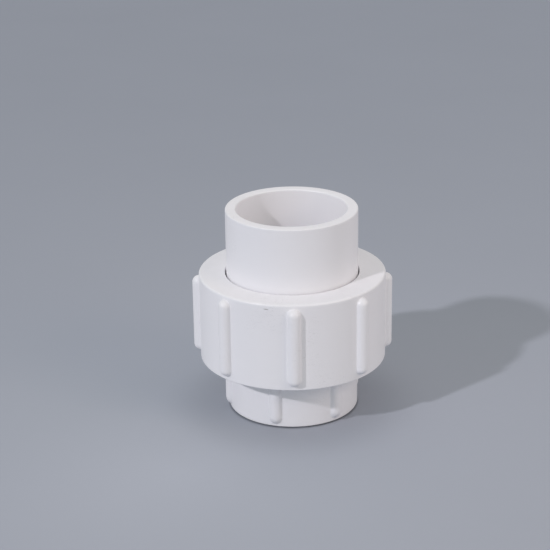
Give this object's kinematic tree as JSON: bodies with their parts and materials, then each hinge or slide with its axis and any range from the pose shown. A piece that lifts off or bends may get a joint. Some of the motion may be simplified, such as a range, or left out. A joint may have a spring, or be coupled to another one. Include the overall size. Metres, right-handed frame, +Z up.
{
  "type": "pipe union",
  "caption": "Plain-socket pipe union: a ribbed union nut draws a flanged tail piece down onto a threaded body with a face seal.",
  "frame": {"origin": "centre of the bottom rim, on the pipe axis", "axes": "+Z up the pipe axis from the threaded body to the tail piece; -Y is the front"},
  "size_m": [0.0912, 0.0912, 0.0951],
  "materials": {
    "body_plastic": "satin moulded",
    "nut_plastic": "satin moulded",
    "tail_plastic": "satin moulded",
    "seal_rubber": "matt rubber"
  },
  "bodies": {
    "threaded_body": {"threaded_body": "body_plastic", "o_ring": "seal_rubber"},
    "tail_piece": {"tail_piece": "tail_plastic"},
    "union_nut": {"union_nut": "nut_plastic"}
  },
  "joints": [
    {"name": "tail_lift", "type": "slide", "parent": "threaded_body", "child": "tail_piece", "axis": [0, 0, 1], "range_m": [0, 0.025]},
    {"name": "nut_turn", "type": "hinge", "parent": "tail_piece", "child": "union_nut", "pos_m": [0, 0, 0.0447], "axis": [0, 0, 1], "range_deg": [0, 1800]}
  ],
  "couplings": [
    {"joint": "tail_lift", "follows": "nut_turn", "m_per_rad": 0.00079577}
  ]
}
